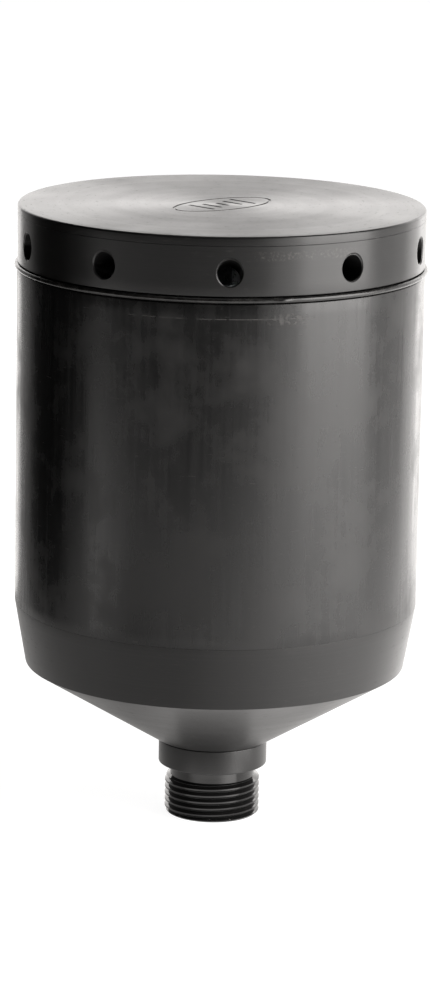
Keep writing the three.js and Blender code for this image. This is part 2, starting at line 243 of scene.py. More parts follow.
turnedValues = {
    "base": "#0e0e0e",       # carbon-black polyethylene
    "haze": "#2c2a29",       # burnished tops of the tool marks and scuffs
    "chip": "#b4b1ae",       # torn plastic at a damaged edge
    "wear": "#3d3b39",       # a rubbed patch
    "roughness": 0.32,
    "ior": 1.51,
    "anisotropy": 0.6,
    "acrossMarks": 0.25,     # anisotropic rotation, a quarter turn
    "feedMm": 0.9,           # tool feed, drawn coarser than the real 0.2 mm so that it shows
    "markHeightMm": 0.006,
    "ringHaze": 0.2,         # how light the tops of the tool marks are
    "bandMm": 6.0,           # broader bands where the tool rubbed
    "cloudMm": 22.0,         # patches that are a little glossier or duller
    "scuffsRound": 14.0,     # scuffs to a radian
    "scuffsNarrow": 60.0,    # keeps them long round the piece and narrow across it
    "scuff": 0.5,            # how light the scuffs are
    "scuffRoughness": 0.15,
    "speckMm": 0.9,          # specks in a rubbed patch
    "chipMm": 1.1,
}
capWear = (-79, -52, 208.3, 210.8)   # the rubbed patch, as patch() takes it
threadFinish = {
    "glossBelowMm": 18.0,    # up to the shoulder
    "gloss": 0.2,            # how much smoother the thread is
    "fadeMm": 0.5,
    "chippedBelowMm": 1.2,   # nicks round the end face
}


def turnedPolyethyleneMaterial(name, worn=None, thread=None):
    # Black polyethylene cut on a lathe: satin, with fine rings that spread the highlights across
    # them. The thread cutter leaves it glossier, so the stud is smoother below its shoulder.
    values = turnedValues
    material, tree, shader = newMaterial(name)
    place, angle, radius, height = roundAxis(tree)
    along = maths(tree, "ADD", radius, height)
    rings = noise(tree, "1D", 1 / (values["feedMm"] * mm), detail=3.0, roughness=0.7, W=along)
    bands = noise(tree, "1D", 1 / (values["bandMm"] * mm), W=along)
    cloud = noise(tree, "3D", 1 / (values["cloudMm"] * mm), detail=4.0, Vector=place)
    stretched = vector(tree, angle, maths(tree, "MULTIPLY", along, values["scuffsNarrow"]))
    scratches = noise(tree, "2D", values["scuffsRound"], detail=5.0, roughness=0.65, Vector=stretched)
    scuffs = ramp(tree, scratches, 0.62, 0.74)
    haze = maths(tree, "MULTIPLY", ramp(tree, rings, 0.45, 0.8), values["ringHaze"])
    haze = maths(tree, "MAXIMUM", haze, maths(tree, "MULTIPLY", scuffs, values["scuff"]))
    colour = mixed(tree, haze, linear(values["base"]), linear(values["haze"]))
    if worn:
        specks = noise(tree, "3D", 1 / (values["speckMm"] * mm), detail=4.0, roughness=0.7, Vector=place)
        specks = ramp(tree, specks, 0.5, 0.7)
        rubbed = maths(tree, "MULTIPLY", specks, patch(tree, angle, height, worn))
        colour = mixed(tree, rubbed, colour, linear(values["wear"]))
    if thread:
        grain = noise(tree, "3D", 1 / (values["chipMm"] * mm), detail=2.0, Vector=place)
        nearEnd = ramp(tree, height, 0.0, thread["chippedBelowMm"] * mm, 1.0, 0.0)
        chips = maths(tree, "MULTIPLY", ramp(tree, grain, 0.66, 0.7), nearEnd)
        colour = mixed(tree, chips, colour, linear(values["chip"]))
    tree.links.new(colour, shader.inputs["Base Color"])
    rough = maths(tree, "ADD", ramp(tree, cloud, 0.3, 0.7, -0.02, 0.03), values["roughness"])
    rough = maths(tree, "ADD", rough, ramp(tree, bands, 0.3, 0.7, -0.01, 0.01))
    rough = maths(tree, "ADD", rough, maths(tree, "MULTIPLY", scuffs, values["scuffRoughness"]))
    if thread:
        glossTop = thread["glossBelowMm"] * mm
        gloss = ramp(tree, height, glossTop - thread["fadeMm"] * mm, glossTop, thread["gloss"], 0.0)
        rough = maths(tree, "SUBTRACT", rough, gloss)
    tree.links.new(rough, shader.inputs["Roughness"])
    shader.inputs["IOR"].default_value = values["ior"]
    shader.inputs["Anisotropic"].default_value = values["anisotropy"]
    shader.inputs["Anisotropic Rotation"].default_value = values["acrossMarks"]
    tangent = addNode(tree, "ShaderNodeTangent", {"direction_type": "RADIAL", "axis": "Z"})
    tree.links.new(tangent.outputs[0], shader.inputs["Tangent"])
    bumped(tree, shader, rings, values["markHeightMm"] * mm, 0.6)
    return material


extrudedValues = {
    "base": "#0b0b0b",       # carbon-black polyethylene
    "scratch": "#3a3837",
    "roughness": 0.25,
    "ior": 1.51,
    "lineMm": 2.2,           # die lines round the pipe
    "lineHeightMm": 0.04,
    "smudgeMm": 24.0,
    "smudge": 0.14,          # how much rougher the handling smudges are
    "smudgeHaze": 0.12,      # and how much lighter
    "scratchesRound": 9.0,   # scratches to a radian
    "scratchesFlat": 9.0 / 0.07,     # nine times as long round the 70 mm radius as they are high
    "markHaze": 0.9,         # how light the scratches and scrapes are
    "markRoughness": 0.2,
    "scrape": (-113, -66, 188.7, 188.85),    # a long scrape and a rubbed patch, as patch() takes them
    "rub": (-76, -68, 187.2, 190.0),
    "spotMm": 1.6,           # spots in the rubbed patch
}


def extrudedPolyethyleneMaterial():
    # Extruded pipe: glossy from the die, with faint lines along it, handling smudges and scratches.
    values = extrudedValues
    material, tree, shader = newMaterial("extrudedPolyethylene")
    place, angle, _, height = roundAxis(tree)
    upright = vector(tree, angle, maths(tree, "MULTIPLY", height, 0.6))
    pipeRadius = housing["pipeRadius"]
    lines = noise(tree, "2D", pipeRadius / values["lineMm"], detail=3.0, roughness=0.6, Vector=upright)
    cloud = noise(tree, "3D", 1 / (values["smudgeMm"] * mm), detail=5.0, roughness=0.6, Vector=place)
    smudge = ramp(tree, cloud, 0.47, 0.66)
    level = vector(tree, angle, maths(tree, "MULTIPLY", height, values["scratchesFlat"]))
    often = values["scratchesRound"]
    scratches = noise(tree, "2D", often, detail=6.0, roughness=0.75, Vector=level)
    scratch = ramp(tree, scratches, 0.67, 0.77)
    broken = ramp(tree, noise(tree, "1D", often, detail=4.0, roughness=0.7, W=angle), 0.4, 0.52)
    scrape = maths(tree, "MULTIPLY", patch(tree, angle, height, values["scrape"], 0.1), broken)
    spots = noise(tree, "3D", 1 / (values["spotMm"] * mm), detail=3.0, Vector=place)
    rub = maths(tree, "MULTIPLY", patch(tree, angle, height, values["rub"]), ramp(tree, spots, 0.5, 0.62))
    marks = maths(tree, "MAXIMUM", scratch, maths(tree, "MAXIMUM", scrape, rub))
    smudgeHaze = maths(tree, "MULTIPLY", smudge, values["smudgeHaze"])
    haze = maths(tree, "MAXIMUM", smudgeHaze, maths(tree, "MULTIPLY", marks, values["markHaze"]))
    colour = mixed(tree, haze, linear(values["base"]), linear(values["scratch"]))
    tree.links.new(colour, shader.inputs["Base Color"])
    rough = maths(tree, "ADD", maths(tree, "MULTIPLY", smudge, values["smudge"]), values["roughness"])
    rough = maths(tree, "ADD", rough, maths(tree, "MULTIPLY", marks, values["markRoughness"]))
    rough = maths(tree, "ADD", rough, ramp(tree, lines, 0.3, 0.7, -0.03, 0.03))
    tree.links.new(rough, shader.inputs["Roughness"])
    shader.inputs["IOR"].default_value = values["ior"]
    bumped(tree, shader, lines, values["lineHeightMm"] * mm, 0.5)
    return material


rubberValues = {
    "base": "#0d0d0d",
    "bloom": "#232221",
    "bloomMm": 3.0,
    "roughness": 0.22,
    "ior": 1.52,
    "unevenMm": 0.05,
}


def nitrileRubberMaterial():
    # Moulded nitrile rubber: smooth black with a slight mottled bloom.
    values = rubberValues
    material, tree, shader = newMaterial("nitrileRubber")
    place = addNode(tree, "ShaderNodeTexCoord").outputs["Object"]
    mottle = noise(tree, "3D", 1 / (values["bloomMm"] * mm), detail=3.0, Vector=place)
    colour = mixed(tree, ramp(tree, mottle, 0.4, 0.7), linear(values["base"]), linear(values["bloom"]))
    tree.links.new(colour, shader.inputs["Base Color"])
    low, high = values["roughness"] - 0.05, values["roughness"] + 0.08
    tree.links.new(ramp(tree, mottle, 0.3, 0.7, low, high), shader.inputs["Roughness"])
    shader.inputs["IOR"].default_value = values["ior"]
    bumped(tree, shader, mottle, values["unevenMm"] * mm, 0.3)
    return material


feltValues = {
    "dark": "#6f6b64",
    "light": "#a8a298",
    "tuft": "#837c72",
    "fibreMm": 0.8,          # drawn coarser than real fibres so that they show
    "tuftMm": 7.0,
    "roughness": 0.95,
    "sheen": 0.3,
    "fluffMm": 0.4,
}


def needleFeltMaterial():
    # Pressed grey needle felt: matt, with tangled fibres.
    values = feltValues
    material, tree, shader = newMaterial("needleFelt")
    place = addNode(tree, "ShaderNodeTexCoord").outputs["Object"]
    fibres = noise(tree, "3D", 1 / (values["fibreMm"] * mm), detail=6.0, roughness=0.8, Vector=place)
    tufts = noise(tree, "3D", 1 / (values["tuftMm"] * mm), detail=3.0, Vector=place)
    colour = mixed(tree, ramp(tree, fibres, 0.3, 0.7), linear(values["dark"]), linear(values["light"]))
    colour = mixed(tree, ramp(tree, tufts, 0.4, 0.7, 0.0, 0.4), colour, linear(values["tuft"]))
    tree.links.new(colour, shader.inputs["Base Color"])
    shader.inputs["Roughness"].default_value = values["roughness"]
    shader.inputs["Sheen Weight"].default_value = values["sheen"]
    bumped(tree, shader, fibres, values["fluffMm"] * mm, 0.8)
    return material


sheetValues = {
    "dark": "#a9a9a7",
    "light": "#c6c6c4",
    "smooth": 0.28,          # roughness, from the smoothest lines to the roughest
    "rough": 0.4,
    "lines": (40.0, 1600.0, 1600.0),     # to a metre along X, Y and Z
}


def sheetStainlessMaterial():
    # Mill-finish stainless sheet: fine rolling lines along X.
    values = sheetValues
    material, tree, shader = newMaterial("sheetStainless")
    place = addNode(tree, "ShaderNodeTexCoord").outputs["Object"]
    stretched = addNode(tree, "ShaderNodeMapping", Vector=place, Scale=values["lines"]).outputs[0]
    lines = noise(tree, "3D", 1.0, detail=3.0, Vector=stretched)
    colour = mixed(tree, ramp(tree, lines, 0.3, 0.7), linear(values["dark"]), linear(values["light"]))
    tree.links.new(colour, shader.inputs["Base Color"])
    rough = ramp(tree, lines, 0.3, 0.7, values["smooth"], values["rough"])
    tree.links.new(rough, shader.inputs["Roughness"])
    shader.inputs["Metallic"].default_value = 1.0
    return material


zincValues = {
    "dark": "#9fa6ad",
    "light": "#c3c8cc",
    "smooth": 0.25,
    "rough": 0.38,
    "crystalMm": 1.2,
}


def zincPlateMaterial():
    # Bright zinc plate on steel: slightly blue, with a fine crystalline mottle.
    values = zincValues
    material, tree, shader = newMaterial("zincPlate")
    place = addNode(tree, "ShaderNodeTexCoord").outputs["Object"]
    mottle = noise(tree, "3D", 1 / (values["crystalMm"] * mm), detail=4.0, Vector=place)
    colour = mixed(tree, ramp(tree, mottle, 0.3, 0.7), linear(values["dark"]), linear(values["light"]))
    tree.links.new(colour, shader.inputs["Base Color"])
    rough = ramp(tree, mottle, 0.3, 0.7, values["smooth"], values["rough"])
    tree.links.new(rough, shader.inputs["Roughness"])
    shader.inputs["Metallic"].default_value = 1.0
    return material


turnedPolyethylene = turnedPolyethyleneMaterial("turnedPolyethylene")
capPolyethylene = turnedPolyethyleneMaterial("capPolyethylene", worn=capWear)
studPolyethylene = turnedPolyethyleneMaterial("studPolyethylene", thread=threadFinish)
extrudedPolyethylene = extrudedPolyethyleneMaterial()
nitrileRubber = nitrileRubberMaterial()
needleFelt = needleFeltMaterial()
sheetStainless = sheetStainlessMaterial()
zincPlate = zincPlateMaterial()
print("materials made")


# Geometry trees

def newTree(name, inputs):
    # A geometry tree with named inputs: {name: default value, or None for the material}.
    kinds = {float: "NodeSocketFloat", int: "NodeSocketInt", type(None): "NodeSocketMaterial"}
    tree = bpy.data.node_groups.new(name, "GeometryNodeTree")
    tree.interface.new_socket("Geometry", in_out="INPUT", socket_type="NodeSocketGeometry")
    for label, value in inputs.items():
        socket = tree.interface.new_socket(label, in_out="INPUT", socket_type=kinds[type(value)])
        if value is not None:
            socket.default_value = value
    tree.interface.new_socket("Geometry", in_out="OUTPUT", socket_type="NodeSocketGeometry")
    return tree, tree.nodes.new("NodeGroupInput").outputs


def finishTree(tree, geometry, material):
    real = addNode(tree, "GeometryNodeRealizeInstances", _0=geometry).outputs[0]
    dressed = addNode(tree, "GeometryNodeSetMaterial", Geometry=real, Material=material).outputs[0]
    tree.links.new(dressed, tree.nodes.new("NodeGroupOutput").inputs["Geometry"])
    return tree


def applyTree(piece, tree, **values):
    # Sets the inputs by identifier, then turns the evaluated result into a plain mesh.
    modifier = piece.modifiers.new(tree.name, "NODES")
    modifier.node_group = tree
    for item in tree.interface.items_tree:
        key = item.name.replace(" ", "_")
        if item.in_out == "INPUT" and key in values:
            modifier[item.identifier] = values[key]
    graph = bpy.context.evaluated_depsgraph_get()
    made = bpy.data.meshes.new_from_object(piece.evaluated_get(graph), depsgraph=graph)
    piece.modifiers.remove(modifier)
    piece.data = made


def cutOrJoined(tree, operation, geometry, other):
    # Difference takes the other mesh away; union merges it. Both meshes have to be closed.
    if operation == "UNION":
        links = {"_1": [geometry, other]}
    else:
        links = {"_0": geometry, "_1": other}
    return addNode(
        tree, "GeometryNodeMeshBoolean", {"operation": operation, "solver": "MANIFOLD"}, **links,
    ).outputs[0]


def threadTree(name, operation):
    # Sweeps a trapezoid along a right-hand helix with faded ends, and joins it to the piece or
    # cuts it out. Radii are to the root, where the section starts, and it points outwards.
    tree, given = newTree(name, {
        "Root radius": 0.0151,
        "Pitch": 0.0023,
        "Turns": 5.0,
        "Steps per turn": 96,
        "Depth": 0.0015,
        "Root width": 0.002,
        "Crest width": 0.0004,
        "Start height": 0.0015,
        "Fade turns": 0.4,
        "Material": None,
    })
    helix = addNode(
        tree, "GeometryNodeCurveSpiral", Resolution=given["Steps per turn"], Rotations=given["Turns"],
        Start_Radius=given["Root radius"], End_Radius=given["Root radius"],
        Height=maths(tree, "MULTIPLY", given["Pitch"], given["Turns"]), Reverse=True,
    ).outputs[0]
    lift = vector(tree, z=given["Start height"])
    helix = addNode(tree, "GeometryNodeSetPosition", Geometry=helix, Offset=lift).outputs[0]
    helix = addNode(tree, "GeometryNodeSetCurveNormal", {"mode": "Z_UP"}, Curve=helix).outputs[0]
    section = addNode(
        tree, "GeometryNodeCurvePrimitiveQuadrilateral", {"mode": "TRAPEZOID"},
        Height=given["Depth"], Bottom_Width=given["Root width"], Top_Width=given["Crest width"], Offset=0.0,
    ).outputs[0]
    outwards = vector(tree, maths(tree, "MULTIPLY", given["Depth"], 0.5))
    section = addNode(
        tree, "GeometryNodeTransform", Geometry=section, Translation=outwards,
        Rotation=(0.0, 0.0, -math.pi / 2),
    ).outputs[0]
    turnsIn = maths(
        tree, "MULTIPLY", addNode(tree, "GeometryNodeSplineParameter").outputs["Factor"], given["Turns"],
    )
    nearest = maths(tree, "MINIMUM", turnsIn, maths(tree, "SUBTRACT", given["Turns"], turnsIn))
    fade = ramp(tree, nearest, 0.0, given["Fade turns"], 0.05, 1.0)
    ridge = addNode(
        tree, "GeometryNodeCurveToMesh", Curve=helix, Profile_Curve=section, Scale=fade, Fill_Caps=True,
    ).outputs[0]
    return finishTree(tree, cutOrJoined(tree, operation, given["Geometry"], ridge), given["Material"])


def drillTree():
    # A ring of drilled holes with chamfered mouths. The mouth is where a hole's axis meets the
    # face, and the tilts are those of the axis and of the face's normal, from +Z outwards.
    tree, given = newTree("drilledHoles", {
        "Count": 10,
        "Radius": 0.0042,
        "Reach": 0.022,
        "Mouth radius": 0.07,
        "Mouth height": 0.2,
        "Axis tilt": 1.2,
        "Face tilt": 1.5708,
        "Chamfer": 0.0005,
        "First angle": 0.0,
        "Material": None,
    })
    drill = addNode(
        tree, "GeometryNodeMeshCylinder", Vertices=64, Radius=given["Radius"],
        Depth=maths(tree, "MULTIPLY", given["Reach"], 2.0),
    ).outputs["Mesh"]
    drill = addNode(
        tree, "GeometryNodeTransform", Geometry=drill, Rotation=vector(tree, y=given["Axis tilt"]),
    ).outputs[0]
    # The countersink is 45 degrees and stands one chamfer proud of the face. A slanted hole has
    # an oval mouth, so it is stretched to match.
    wide = maths(tree, "ADD", given["Radius"], maths(tree, "MULTIPLY", given["Chamfer"], 2.0))
    countersink = addNode(
        tree, "GeometryNodeMeshCone", Vertices=64, Radius_Top=wide, Radius_Bottom=given["Radius"],
        Depth=maths(tree, "MULTIPLY", given["Chamfer"], 2.0),
    ).outputs["Mesh"]
    lean = maths(tree, "SUBTRACT", given["Face tilt"], given["Axis tilt"])
    stretch = maths(tree, "DIVIDE", 1.0, maths(tree, "COSINE", lean, 0.0))
    inwards = vector(tree, z=maths(tree, "MULTIPLY", given["Chamfer"], -1.0))
    countersink = addNode(tree, "GeometryNodeTransform", Geometry=countersink, Translation=inwards).outputs[0]
    countersink = addNode(
        tree, "GeometryNodeTransform", Geometry=countersink, Rotation=vector(tree, y=given["Face tilt"]),
        Scale=addNode(tree, "ShaderNodeCombineXYZ", X=stretch, Y=1.0, Z=1.0).outputs[0],
    ).outputs[0]
    tool = cutOrJoined(tree, "UNION", drill, countersink)
    mouth = vector(tree, given["Mouth radius"], 0.0, given["Mouth height"])
    tool = addNode(tree, "GeometryNodeTransform", Geometry=tool, Translation=mouth).outputs[0]
    step = maths(tree, "DIVIDE", 2 * math.pi, given["Count"])
    index = addNode(tree, "GeometryNodeInputIndex").outputs[0]
    angle = maths(tree, "ADD", maths(tree, "MULTIPLY", index, step), given["First angle"])
    points = addNode(tree, "GeometryNodePoints", Count=given["Count"]).outputs[0]
    tools = addNode(
        tree, "GeometryNodeInstanceOnPoints", Points=points, Instance=tool, Rotation=vector(tree, z=angle),
    ).outputs[0]
    tools = addNode(tree, "GeometryNodeRealizeInstances", _0=tools).outputs[0]
    return finishTree(tree, cutOrJoined(tree, "DIFFERENCE", given["Geometry"], tools), given["Material"])


def markTree():
    # A plain oval frame round a row of bars, engraved in the top face.
    tree, given = newTree("engravedMark", {
        "Length": 0.04,
        "Width": 0.022,
        "Groove": 0.0009,
        "Depth": 0.0005,
        "Face height": 0.216,
        "Bars": 5,
        "Bar spacing": 0.005,
        "Bar width": 0.002,
        "Middle bar": 0.006,
        "Bar growth": 0.003,
        "Turn": 0.56,
        "Material": None,
    })
    thick = maths(tree, "MULTIPLY", given["Depth"], 2.0)
    oval = addNode(tree, "GeometryNodeCurvePrimitiveCircle", Resolution=128, Radius=1.0).outputs["Curve"]
    halves = [maths(tree, "MULTIPLY", given[side], 0.5) for side in ("Length", "Width")]
    oval = addNode(tree, "GeometryNodeTransform", Geometry=oval, Scale=vector(tree, *halves, 1.0)).outputs[0]
    slot = addNode(
        tree, "GeometryNodeCurvePrimitiveQuadrilateral", Width=given["Groove"], Height=thick,
    ).outputs[0]
    slot = addNode(
        tree, "GeometryNodeCurveToMesh",
        Curve=addNode(tree, "GeometryNodeSetCurveNormal", {"mode": "Z_UP"}, Curve=oval).outputs[0],
        Profile_Curve=slot,
    ).outputs[0]
    middle = maths(tree, "DIVIDE", maths(tree, "SUBTRACT", given["Bars"], 1.0), 2.0)
    first = maths(tree, "MULTIPLY", maths(tree, "MULTIPLY", middle, given["Bar spacing"]), -1.0)
    line = addNode(
        tree, "GeometryNodeMeshLine", Count=given["Bars"], Start_Location=vector(tree, first),
        Offset=vector(tree, given["Bar spacing"]),
    ).outputs[0]
    index = addNode(tree, "GeometryNodeInputIndex").outputs[0]
    away = maths(tree, "ABSOLUTE", maths(tree, "SUBTRACT", index, middle), 0.0)
    tall = maths(tree, "ADD", given["Middle bar"], maths(tree, "MULTIPLY", away, given["Bar growth"]))
    bars = addNode(
        tree, "GeometryNodeInstanceOnPoints", Points=line,
        Instance=addNode(tree, "GeometryNodeMeshCube", Size=(1.0, 1.0, 1.0)).outputs["Mesh"],
        Scale=vector(tree, given["Bar width"], tall, thick),
    ).outputs[0]
    bars = addNode(tree, "GeometryNodeRealizeInstances", _0=bars).outputs[0]
    cutter = addNode(tree, "GeometryNodeJoinGeometry", _0=[slot, bars]).outputs[0]
    cutter = addNode(
        tree, "GeometryNodeTransform", Geometry=cutter, Rotation=vector(tree, z=given["Turn"]),
        Translation=vector(tree, z=given["Face height"]),
    ).outputs[0]
    return finishTree(tree, cutOrJoined(tree, "DIFFERENCE", given["Geometry"], cutter), given["Material"])


threadRidge = threadTree("threadRidge", "UNION")
threadGroove = threadTree("threadGroove", "DIFFERENCE")
drilledHoles = drillTree()
engravedMark = markTree()
print("geometry trees made")


# The threaded stud

studValues = {
    "bore": 12.0,
    "threadMinor": 30.291 / 2,    # G 1
    "threadMajor": 33.249 / 2,
    "pitch": 2.309,
    "grooveStart": -2.7,          # below the end face, so that the groove runs out through it
    "turns": 7.9,
    "rootWidth": 0.06,
    "overcut": 0.25,              # how far the cutter stands out of the crests
    "flankDegrees": 29.9,         # leaves crests 0.55 mm wide
    "leadIn": 0.7,
    "threadEnd": 12.6,
    "reliefStart": 13.6,
    "reliefRadius": 14.8,
    "shoulder": 18.0,
    "collarTop": 26.5,
    "shankRadius": 16.0,
    "collarEdge": 0.5,
    "collarTopEdge": 0.3,
    "edge": 0.4,
    "fadeTurns": 0.35,
}


def makeStud():
    values = studValues
    collar = radiusOf("inlet_stud")
    top = topOf("inlet_stud")
    crest = values["threadMajor"]
    depth = crest - values["threadMinor"] + values["overcut"]
    flanks = 2 * depth * math.tan(math.radians(values["flankDegrees"]))
    piece = turnedPiece("threadedStud", [
        (values["bore"], 0.0, values["edge"]),
        (crest - values["leadIn"], 0.0),
        (crest, values["leadIn"]),
        (crest, values["threadEnd"]),
        (values["reliefRadius"], values["reliefStart"]),
        (values["reliefRadius"], values["shoulder"], values["edge"]),
        (collar, values["shoulder"], values["collarEdge"]),
        (collar, values["collarTop"], values["collarTopEdge"]),
        (values["shankRadius"], values["collarTop"]),
        (values["shankRadius"], top, values["edge"]),
        (values["bore"], top, values["edge"]),
    ], smallSteps)
    applyTree(
        piece, threadGroove,
        Root_radius=values["threadMinor"] * mm,
        Pitch=values["pitch"] * mm,
        Turns=values["turns"],
        Steps_per_turn=smallSteps,
        Depth=depth * mm,
        Root_width=values["rootWidth"] * mm,
        Crest_width=(values["rootWidth"] + flanks) * mm,
        Start_height=values["grooveStart"] * mm,
        Fade_turns=values["fadeTurns"],
        Material=studPolyethylene,
    )
    smooth(piece)
    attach(piece, "housing")
    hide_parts("inlet_stud")


makeStud()
print("stud made")


# The coned base

baseValues = {
    "shankClearance": 0.3,
    "coneFootEdge": 0.15,
    "coneRadius": 66.2,
    "coneTop": 55.3,
    "coneTopEdge": 0.25,
    "seam": 77.0,
    "seamEdge": 0.05,
    "plugRadius": 61.2,
    "plugChamfer": 1.0,
    "grooveRadius": 58.5,
    "grooveLow": 78.2,
    "grooveHigh": 82.2,
    "ledge": 84.0,
    "ledgeRadius": 56.0,
    "ledgeEdge": 0.3,
    "cavityRadius": 46.0,
    "cavityFloor": 53.0,
    "floor": 31.5,
    "floorRadius": 18.0,
    "screws": 3,
    "firstScrew": 30.0,           # degrees
    "screwCircle": 51.0,
    "screwRadius": 2.2,
    "screwDepth": 13.0,
    "screwChamfer": 0.3,
}


def makeBase():
    values = baseValues
    low = bottomOf("inlet_base")
    bore = studValues["shankRadius"] + values["shankClearance"]
    slope = (values["coneRadius"] - radiusOf("inlet_stud")) / (values["coneTop"] - studValues["collarTop"])
    coneFoot = radiusOf("inlet_stud") + (low - studValues["collarTop"]) * slope
    piece = turnedPiece("conedBase", [
        (bore, low),
        (coneFoot, low, values["coneFootEdge"]),
        (values["coneRadius"], values["coneTop"], values["coneTopEdge"]),
        (housing["pipeRadius"], values["seam"], values["seamEdge"]),
        (values["plugRadius"], values["seam"]),
        (values["plugRadius"], values["grooveLow"]),
        (values["grooveRadius"], values["grooveLow"]),
        (values["grooveRadius"], values["grooveHigh"]),
        (values["plugRadius"], values["grooveHigh"]),
        (values["plugRadius"], housing["plugTop"] - values["plugChamfer"]),
        (values["plugRadius"] - values["plugChamfer"], housing["plugTop"]),
        (values["ledgeRadius"], housing["plugTop"], values["ledgeEdge"]),
        (values["ledgeRadius"], values["ledge"]),
        (values["cavityRadius"], values["ledge"], values["ledgeEdge"]),
        (values["cavityRadius"], values["cavityFloor"]),
        (values["floorRadius"], values["floor"]),
        (bore, values["floor"]),
    ], bigSteps)
    applyTree(
        piece, drilledHoles,
        Count=values["screws"],
        Radius=values["screwRadius"] * mm,
        Reach=values["screwDepth"] * mm,
        Mouth_radius=values["screwCircle"] * mm,
        Mouth_height=values["ledge"] * mm,
        Axis_tilt=0.0,
        Face_tilt=0.0,
        Chamfer=values["screwChamfer"] * mm,
        First_angle=math.radians(values["firstScrew"]),
        Material=turnedPolyethylene,
    )
    smooth(piece)
    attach(piece, "housing")
    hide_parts("inlet_base")


makeBase()
print("base made")


# The pipe and the bead of its seal

pipeValues = {
    "wall": 8.3,
    "boreEdge": 0.3,
    "lowEdge": 0.05,
    "highEdge": 0.4,
    "seamGap": 0.01,       # the real pipe is pressed on to the base
}
neckThread = {
    "neckRadius": 60.9,
    "depth": 2.2,
    "pitch": 5.0,
    "start": 183.6,
    "ridgeTurns": 2.0,
    "grooveTurns": 3.0,
    "ridgeFoot": 2.9,
    "ridgeCrest": 1.5,
    "ridgeRooted": 0.5,    # how far the ridge starts inside the neck
    "ridgeFade": 0.15,     # turns
    "grooveRooted": 0.6,   # how far the groove's cutter starts inside the bore
    "grooveFade": 0.01,
    "wider": 1.0,          # room for the ridge in the groove
    "deeper": 0.9,
    "steps": 180,
}


def makePipe():
    values = pipeValues
    bore = housing["pipeRadius"] - values["wall"]
    low = baseValues["seam"] + values["seamGap"]
    piece = turnedPiece("extrudedPipe", [
        (bore, low, values["boreEdge"]),
        (housing["pipeRadius"], low, values["lowEdge"]),
        (housing["pipeRadius"], housing["pipeTop"], values["highEdge"]),
        (bore, housing["pipeTop"], values["boreEdge"]),
    ], bigSteps)
    thread = neckThread
    foot = bore - thread["grooveRooted"]
    applyTree(
        piece, threadGroove,
        Root_radius=foot * mm,
        Pitch=thread["pitch"] * mm,
        Turns=thread["grooveTurns"],
        Steps_per_turn=thread["steps"],
        Depth=(thread["neckRadius"] + thread["depth"] + thread["deeper"] - foot) * mm,
        Root_width=(thread["ridgeFoot"] + thread["wider"]) * mm,
        Crest_width=(thread["ridgeCrest"] + thread["wider"]) * mm,
        Start_height=thread["start"] * mm,
        Fade_turns=thread["grooveFade"],
        Material=extrudedPolyethylene,
    )
    smooth(piece)
    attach(piece, "housing")
    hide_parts("body_tube")


makePipe()
print("pipe made")

sealValues = {
    "bore": 62.6,
    "boreEdge": 0.3,
    "round": 0.85,          # radius of the bead's edges
    "burrDegrees": -73.0,   # a pinched spot on the bead, front right
    "burrWidthDegrees": 1.4,
    "burrHeight": 0.6,
}


def makeSeal():
    values = sealValues

    def burr(angle, point):
        away = (math.degrees(angle) - values["burrDegrees"] + 180) % 360 - 180
        reach = max(0.0, (point.x - housing["pipeRadius"]) / (housing["sealRadius"] - housing["pipeRadius"]))
        return values["burrHeight"] * reach * math.exp(-(away / values["burrWidthDegrees"]) ** 2)

    low, high = housing["sealBottom"], housing["sealTop"]
    piece = turnedPiece("beadSeal", [
        (values["bore"], low, values["boreEdge"]),
        (housing["sealRadius"], low, values["round"]),
        (housing["sealRadius"], high, values["round"]),
        (values["bore"], high, values["boreEdge"]),
    ], bigSteps, swell=burr)
    piece.data.materials.append(nitrileRubber)
    smooth(piece)
    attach(piece, "seal")
    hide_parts("cap_seal_ring")


makeSeal()
print("seal made")


# The screw-in cap with its exhaust holes

capValues = {
    "chamber": 54.0,
    "chamberEdge": 2.0,
    "ceiling": 206.0,
    "neckEdge": 0.4,
    "neckChamfer": 1.0,
    "skirtFloor": 196.2,
    "skirtEdge": 0.3,
    "topEdge": 0.8,
    "witnessLine": 3.1,       # a fine turned line, this far below the top
    "witnessDepth": 0.1,
    "holes": 10,
    "holeRadius": 4.2,
    "holeHeight": 204.2,
    "holeSlant": 18.0,        # degrees down towards the chamber
    "drillReach": 22.0,       # from the mouth into the chamber
    "firstHole": -87.6,       # degrees; the first hole is a little right of the front
    "holeChamfer": 0.55,
    "markTurn": 46.0,
    "markLength": 42.0,
    "markWidth": 20.6,
    "markBar": 1.3,
    "markDepth": 0.25,
}


